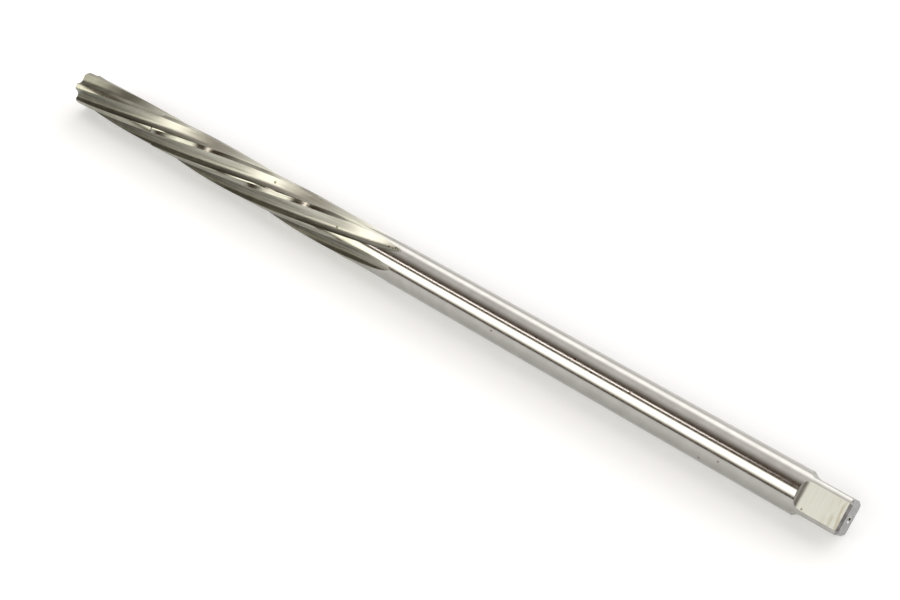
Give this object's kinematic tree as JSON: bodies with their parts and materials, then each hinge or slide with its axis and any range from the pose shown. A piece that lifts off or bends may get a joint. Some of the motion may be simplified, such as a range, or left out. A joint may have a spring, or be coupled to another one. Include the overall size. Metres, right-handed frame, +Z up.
{
  "type": "valve guide reamer",
  "caption": "Long steel hand reamer with a smaller fluted pilot, left-hand spiral cutting flutes, a plain round shank and a milled drive square.",
  "frame": {"origin": "on the surface that the tool lies on, under the middle of its length and under its axis", "axes": "+X along the axis from the pilot's tip to the drive square, +Z up, so the tool lies on its side"},
  "size_m": [0.2, 0.0088, 0.0087],
  "materials": {
    "ground_steel": "ground and polished high-speed steel, with duller flutes and a milled square"
  },
  "bodies": {
    "root": {"reamer": "ground_steel"}
  },
  "joints": []
}
